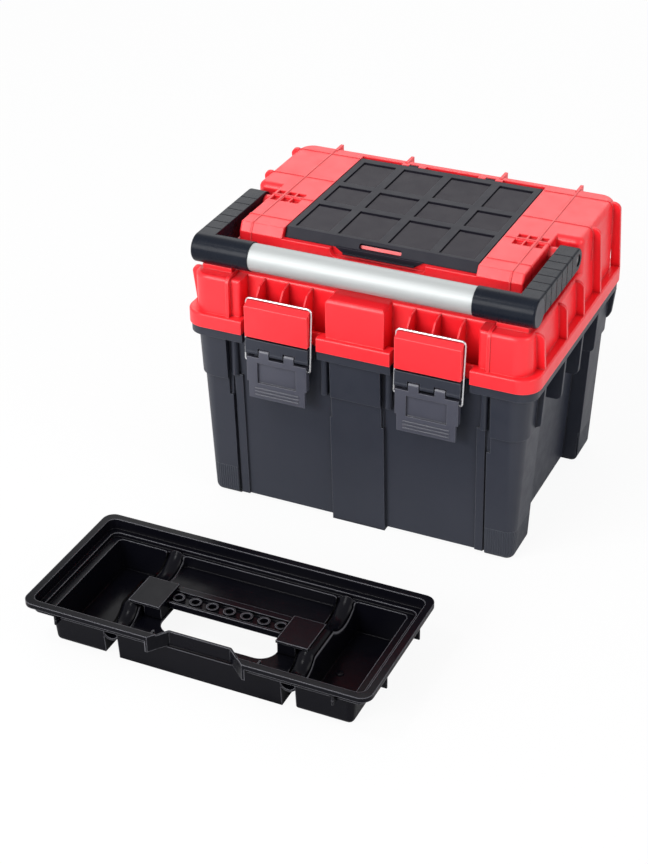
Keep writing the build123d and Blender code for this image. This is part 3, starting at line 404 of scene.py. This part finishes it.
def own_form(node):
    """A node's own form as a bmesh, its triangles joined where they lie in one plane."""
    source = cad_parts[node]
    form = bmesh.new()
    form.from_mesh(source.data)
    form.transform(source.matrix_world)
    bmesh.ops.remove_doubles(form, verts=form.verts[:], dist=JOIN_REACH)
    bmesh.ops.dissolve_limit(form, angle_limit=math.radians(FLAT_ANGLE), verts=form.verts[:], edges=form.edges[:])
    return form


def cut(form, place, facing):
    """New edges where a plane crosses the form."""
    everything = form.verts[:] + form.edges[:] + form.faces[:]
    bmesh.ops.bisect_plane(form, geom=everything, plane_co=place, plane_no=facing)


def add_block(form, middle, size):
    """A box of this size about this middle."""
    turn = Matrix.Translation(middle) @ Matrix.Diagonal((*size, 1.0))
    bmesh.ops.create_cube(form, size=1.0, matrix=turn)


def round_off(form, offset, wanted):
    """Turns the sharp outward edges whose two ends are wanted into rounds."""
    picked = [
        e for e in form.edges
        if e.is_manifold and e.is_convex and e.calc_face_angle(0.0) > math.radians(CORNER_ANGLE)
        and wanted(e.verts[0].co) and wanted(e.verts[1].co)
    ]
    bmesh.ops.bevel(form, geom=picked, offset=offset, segments=4, affect="EDGES", profile=0.5,
                    clamp_overlap=True)


def corner_inset(radius, rise):
    """How far a rounded lower corner lies inside the square one, at this height above its foot."""
    short = max(radius - rise, 0.0)
    return radius - math.sqrt(max(radius ** 2 - short ** 2, 0.0))


def stand_for(form, node, body, material):
    """Puts the form in the node's place, smooth but for its sharp edges."""
    for face in form.faces:
        face.smooth = True
    for line in form.edges:
        line.smooth = line.is_manifold and line.calc_face_angle(0.0) < math.radians(SHARP_ANGLE)
    piece = finished_mesh(node + "_shape", form, material)
    weighted = piece.modifiers.new("weighted", "WEIGHTED_NORMAL")
    weighted.keep_sharp = True
    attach(piece, body)
    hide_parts(node)


def rounded_feet():
    """The four foot caps, each drawn in towards its foot so that the lower outer edge is a round."""
    for name in ("front_left", "front_right", "rear_left", "rear_right"):
        node = f"foot_cap_{name}"
        low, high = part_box(node)
        form = own_form(node)
        for step in range(1, FOOT_STEPS + 1):
            rise = FOOT_ROUND * (1.0 - math.cos(math.radians(90 * step / FOOT_STEPS)))
            cut(form, (0.0, 0.0, low[2] + rise), (0.0, 0.0, 1.0))
        levels = {}
        for vertex in form.verts:
            rise = vertex.co.z - low[2]
            if rise < FOOT_ROUND - CLOSE:
                out = Vector((
                    math.copysign(max(abs(vertex.co.x) - FOOT_CENTRE[0], 0.0), vertex.co.x),
                    math.copysign(max(abs(vertex.co.y) - FOOT_CENTRE[1], 0.0), vertex.co.y),
                    0.0,
                ))
                levels.setdefault(round(rise, 5), []).append((vertex, out))
        for rise, entries in levels.items():
            furthest = max(out.length for vertex, out in entries)
            for vertex, out in entries:
                if out.length > furthest - FOOT_SKIN:
                    vertex.co -= out.normalized() * corner_inset(FOOT_ROUND, rise)
        stand_for(form, node, "bin", cap_grey)


def gusset_edge(z):
    """How far out a side gusset reaches at this height, with its lower corner rounded."""
    top, foot = GUSSET_OUT
    out = top + (foot - top) * (GUSSET_TOP - z) / (GUSSET_TOP - GUSSET_FOOT)
    return out - corner_inset(GUSSET_ROUND, z - GUSSET_FOOT)


def move_gusset(form, side, old, new):
    """Takes one side gusset along the wall, and draws it down and out to its new edge."""
    held = [
        v for v in form.verts
        if abs(v.co.y - old) < GUSSET_HALF + NEAR and v.co.x * side > GUSSET_ROOT
        and GUSSET_UNDER < v.co.z < GUSSET_TOP + NEAR
    ]
    lowest = min(v.co.z for v in held)
    root = min(v.co.x * side for v in held)
    for v in held:
        share = (v.co.z - lowest) / (GUSSET_TOP - lowest)
        z = GUSSET_FOOT + share * (GUSSET_TOP - GUSSET_FOOT)
        if z < GUSSET_TOP - NEAR:
            if v.co.x * side > root + GUSSET_SKIN:
                v.co.x = side * gusset_edge(z)
            else:
                v.co.x -= side * (v.co.z - z) * DRAFT
        v.co.z = z
        v.co.y += new - old


def bin_shape():
    """The bin with its side gussets and the foot of its middle collar placed as in the photograph."""
    form = own_form("bin_body")
    for side in (-1, 1):
        for old, new in GUSSET_PLACES:
            move_gusset(form, side, old, new)
    for v in form.verts:
        if abs(v.co.x) < COLLAR_HALF and v.co.y < COLLAR_FRONT and abs(v.co.z - COLLAR_FOOT) < NEAR:
            v.co.z += COLLAR_RISE
            v.co.y -= COLLAR_RISE * DRAFT
    stand_for(form, "bin_body", "bin", bin_black)


def saddle_drop(y):
    """How far a divider's crest lies below its ends, at this distance from the tray's middle."""
    if PAD_FRONT < y < PAD_REAR:
        return 0.0
    low, high = (PAD_REAR, TUB_HALF_Y) if y > 0 else (-TUB_HALF_Y, PAD_FRONT)
    share = (y - low) / (high - low)
    return SADDLE_DEPTH * math.sin(math.pi * min(max(share, 0.0), 1.0)) ** SADDLE_POWER


def add_boss(form, x, y, z):
    """A low round button that stands on the height z."""
    top = form.verts.new((x, y, z + BOSS_TOP))
    loops = [
        [
            form.verts.new((
                x + radius * math.cos(turn * math.tau / BOSS_SIDES),
                y + radius * math.sin(turn * math.tau / BOSS_SIDES),
                z + height,
            ))
            for turn in range(BOSS_SIDES)
        ]
        for radius, height in BOSS_RINGS
    ]
    for turn in range(BOSS_SIDES):
        after = (turn + 1) % BOSS_SIDES
        form.faces.new((top, loops[0][turn], loops[0][after]))
        for inner, outer in zip(loops, loops[1:]):
            form.faces.new((inner[turn], outer[turn], outer[after], inner[after]))


def tray_lugs(low, high, mid_x, mid_y):
    """The small lugs under the tray's rim, in front and at both ends, and the two bosses on its floor."""
    extra = bmesh.new()
    bottom, top = low[2] + LUG_FOOT, high[2] - LIP
    ledge = low[2] + LEDGE_UNDER
    for x in (-LUG_X, LUG_X):
        for reach, foot, head in ((LUG_REACH, ledge - LUG_LAP, top), (2 * LUG_REACH, bottom, ledge)):
            middle = (mid_x + x, low[1] + LUG_FRONT + reach / 2, (head + foot) / 2)
            add_block(extra, middle, (LUG_THICKNESS, reach, head - foot))
    for side in (-1, 1):
        edge = high[0] if side > 0 else low[0]
        for y in (-LUG_Y, LUG_Y):
            middle = (edge - side * (LUG_SIDE + LUG_REACH / 2), mid_y + y, (top + bottom) / 2)
            add_block(extra, middle, (LUG_REACH, LUG_THICKNESS, top - bottom))
    bmesh.ops.bevel(extra, geom=extra.edges[:], offset=LUG_BEVEL, segments=3, affect="EDGES", profile=0.5)
    for side in (-1, 1):
        add_boss(extra, mid_x + side * BOSS_X, mid_y + BOSS_Y, low[2] + FLOOR_Z)
    for face in extra.faces:
        face.smooth = True
    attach(finished_mesh("tray_lugs", extra, tray_black), "tray")


def tray_shape():
    """The tray with rounded tub bottoms and dividers that dip beside the pads, and its lugs and bosses."""
    low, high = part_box("tray_body")
    mid_x, mid_y = (low[0] + high[0]) / 2, (low[1] + high[1]) / 2
    form = own_form("tray_body")

    def under_end_tubs(point):
        return abs(point.x - mid_x) > GAP_X[1] - TUB_SLACK and point.z < low[2] + TUB_FOOT

    round_off(form, TUB_ROUND, under_end_tubs)
    for step in range(-TRAY_CUTS, TRAY_CUTS + 1):
        cut(form, (0.0, mid_y + step * TUB_HALF_Y / TRAY_CUTS, 0.0), (0.0, 1.0, 0.0))
    for vertex in form.verts:
        place = vertex.co
        beside = abs(abs(place.x - mid_x) - sum(GAP_X) / 2)
        if beside > RIDGE_HALF + NEAR or place.z < low[2] + DIVIDER_FOOT:
            continue
        if abs(place.y - mid_y) < TUB_HALF_Y:
            place.z -= saddle_drop(place.y - mid_y)
    stand_for(form, "tray_body", "tray", tray_black)
    tray_lugs(low, high, mid_x, mid_y)


def window_panes():
    """Twelve smoked panes with softened edges, one in each window of the organiser's cover."""
    low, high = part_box("organiser_cover")
    half_bar = WINDOW_BAR / 2
    columns = ((half_bar, WINDOW_BAR_X - half_bar), (WINDOW_BAR_X + half_bar, high[0] - WINDOW_MARGIN))
    rows = (
        (low[1] + STRIP_RUN + half_bar, WINDOW_ROWS[0] - half_bar),
        (WINDOW_ROWS[0] + half_bar, WINDOW_ROWS[1] - half_bar),
        (WINDOW_ROWS[1] + half_bar, PANEL_REAR - WINDOW_BAR),
    )
    form = bmesh.new()
    for side in (-1, 1):
        for column in columns:
            for row in rows:
                size = (column[1] - column[0] - 2 * PANE_GAP, row[1] - row[0] - 2 * PANE_GAP, PANE_THICKNESS)
                middle = (side * sum(column) / 2, sum(row) / 2, high[2] - WINDOW_RECESS + PANE_THICKNESS / 2)
                add_block(form, middle, size)
    bmesh.ops.bevel(form, geom=form.edges[:], offset=PANE_BEVEL, segments=2, affect="EDGES", profile=0.5)
    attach(finished_mesh("window_panes", form, window_black), "organiser_cover")


def round_route(corners, radii, steps=6):
    """The points of a wire bent round each inner corner at its own radius."""
    points = [Vector(corners[0])]
    for before, corner, after, radius in zip(corners, corners[1:], corners[2:], radii):
        corner = Vector(corner)
        back = (Vector(before) - corner).normalized()
        ahead = (Vector(after) - corner).normalized()
        half = back.angle(ahead) / 2
        centre = corner + (back + ahead).normalized() * radius / math.sin(half)
        first = corner + back * radius / math.tan(half) - centre
        last = corner + ahead * radius / math.tan(half) - centre
        turn = first.rotation_difference(last)
        for step in range(steps + 1):
            share = step / steps
            points.append(centre + Matrix.Rotation(turn.angle * share, 3, turn.axis) @ first)
    points.append(Vector(corners[-1]))
    return points


def wire_bail(hand):
    """One bail of round wire close to the keeper's sides, its hooks turned into the lever's rails."""
    node = f"latch_bail_{hand}"
    low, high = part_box(node)
    middle = (low[0] + high[0]) / 2
    foot = (low[1] + WIRE_RADIUS, low[2] + WIRE_RADIUS)
    bar = (high[1] - WIRE_RADIUS, high[2] - WIRE_RADIUS)
    corners = [
        (middle - HOOK_REACH, *foot),
        (middle - LEG_REACH, *foot),
        (middle - LEG_REACH, *bar),
        (middle + LEG_REACH, *bar),
        (middle + LEG_REACH, *foot),
        (middle + HOOK_REACH, *foot),
    ]
    route = round_route(corners, WIRE_BENDS)
    line = bpy.data.curves.new(node + "_wire", "CURVE")
    line.dimensions = "3D"
    line.bevel_depth = WIRE_RADIUS
    line.bevel_resolution = 5
    line.use_fill_caps = True
    spline = line.splines.new("POLY")
    spline.points.add(len(route) - 1)
    for point, place in zip(spline.points, route):
        point.co = (*place, 1.0)
    line.materials.append(wire_metal)
    piece = bpy.data.objects.new(node + "_wire", line)
    bpy.context.scene.collection.objects.link(piece)
    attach(piece, node)
    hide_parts(node)


def floor_material():
    """A white floor that keeps a faint shadow, and reads as white to the camera."""
    material = bpy.data.materials.new("floor_white")
    tree, shader, _ = node_tree(material)
    shader.inputs["Base Color"].default_value = (*FLOOR_COLOUR, 1.0)
    shader.inputs["Roughness"].default_value = 0.9
    shader.inputs["Specular IOR Level"].default_value = 0.0
    glow = tree.nodes.new("ShaderNodeEmission")
    glow.inputs["Color"].default_value = (*WHITE, 1.0)
    path = tree.nodes.new("ShaderNodeLightPath")
    mix = tree.nodes.new("ShaderNodeMixShader")
    tree.links.new(math_node(tree, "MULTIPLY", path.outputs["Is Camera Ray"], FLOOR_GLOW), mix.inputs[0])
    tree.links.new(shader.outputs[0], mix.inputs[1])
    tree.links.new(glow.outputs[0], mix.inputs[2])
    tree.links.new(mix.outputs[0], tree.nodes["Material Output"].inputs["Surface"])
    return material


def make_floor(material):
    """The floor, under everything."""
    mesh = bpy.data.meshes.new("floor")
    corners = [(x * FLOOR_REACH, y * FLOOR_REACH, -FLOOR_DROP) for x, y in ((-1, -1), (1, -1), (1, 1), (-1, 1))]
    mesh.from_pydata(corners, [], [(0, 1, 2, 3)])
    mesh.materials.append(material)
    floor = bpy.data.objects.new("floor", mesh)
    bpy.context.scene.collection.objects.link(floor)


def make_world():
    """White to the camera and in reflections, plain soft light to everything else."""
    world = bpy.data.worlds.new("studio")
    bpy.context.scene.world = world
    world.use_nodes = True
    tree = world.node_tree
    tree.nodes.clear()
    path = tree.nodes.new("ShaderNodeLightPath")
    seen = math_node(tree, "MAXIMUM", path.outputs["Is Camera Ray"], path.outputs["Is Glossy Ray"])
    seen = math_node(tree, "MAXIMUM", seen, path.outputs["Is Transmission Ray"])
    mix = tree.nodes.new("ShaderNodeMixShader")
    tree.links.new(seen, mix.inputs[0])
    for socket, strength in zip(mix.inputs[1:], (WORLD_LIGHT, WORLD_SEEN)):
        plain = tree.nodes.new("ShaderNodeBackground")
        plain.inputs["Color"].default_value = (*WHITE, 1.0)
        plain.inputs["Strength"].default_value = strength
        tree.links.new(plain.outputs[0], socket)
    out = tree.nodes.new("ShaderNodeOutputWorld")
    tree.links.new(mix.outputs[0], out.inputs["Surface"])


def area_light(name, place, size, power):
    """One soft rectangular lamp aimed at the box."""
    data = bpy.data.lights.new(name, "AREA")
    data.shape = "RECTANGLE"
    data.size, data.size_y = size
    data.energy = power
    lamp = bpy.data.objects.new(name, data)
    lamp.location = place
    lamp.rotation_euler = (Vector(LAMP_TARGET) - Vector(place)).to_track_quat("-Z", "Y").to_euler()
    bpy.context.scene.collection.objects.link(lamp)


def make_camera():
    """The photograph's camera."""
    yaw, pitch, roll = (math.radians(a) for a in (CAMERA_YAW, CAMERA_PITCH, CAMERA_ROLL))
    forward = Vector((-math.sin(yaw) * math.cos(pitch), math.cos(yaw) * math.cos(pitch), -math.sin(pitch)))
    right = Vector((math.cos(yaw), math.sin(yaw), 0.0))
    up = right.cross(forward)
    across = right * math.cos(roll) + up * math.sin(roll)
    upright = up * math.cos(roll) - right * math.sin(roll)
    data = bpy.data.cameras.new("camera")
    data.sensor_fit = "AUTO"
    data.sensor_width = SENSOR
    data.lens = FOCAL_PIXELS / IMAGE_HEIGHT * SENSOR
    camera = bpy.data.objects.new("camera", data)
    axes = Matrix((across, upright, -forward)).transposed()
    camera.matrix_world = Matrix.Translation(CAMERA_AT) @ axes.to_4x4()
    bpy.context.scene.collection.objects.link(camera)
    bpy.context.scene.camera = camera


window_panes()
wire_bail("left")
wire_bail("right")
rounded_feet()
bin_shape()
tray_shape()
make_floor(floor_material())
make_world()
area_light("key", (-1.2, -3.0, 1.6), (2.0, 1.6), 85.0)
area_light("edge", (-0.66, -1.1, 1.9), (0.3, 0.3), 8.0)
area_light("side", (2.6, -0.6, 1.6), (1.4, 1.4), 22.0)
area_light("back", (-0.6, 2.6, 2.2), (3.0, 1.6), 22.0)
make_camera()
bpy.context.scene.view_settings.view_transform = "Standard"
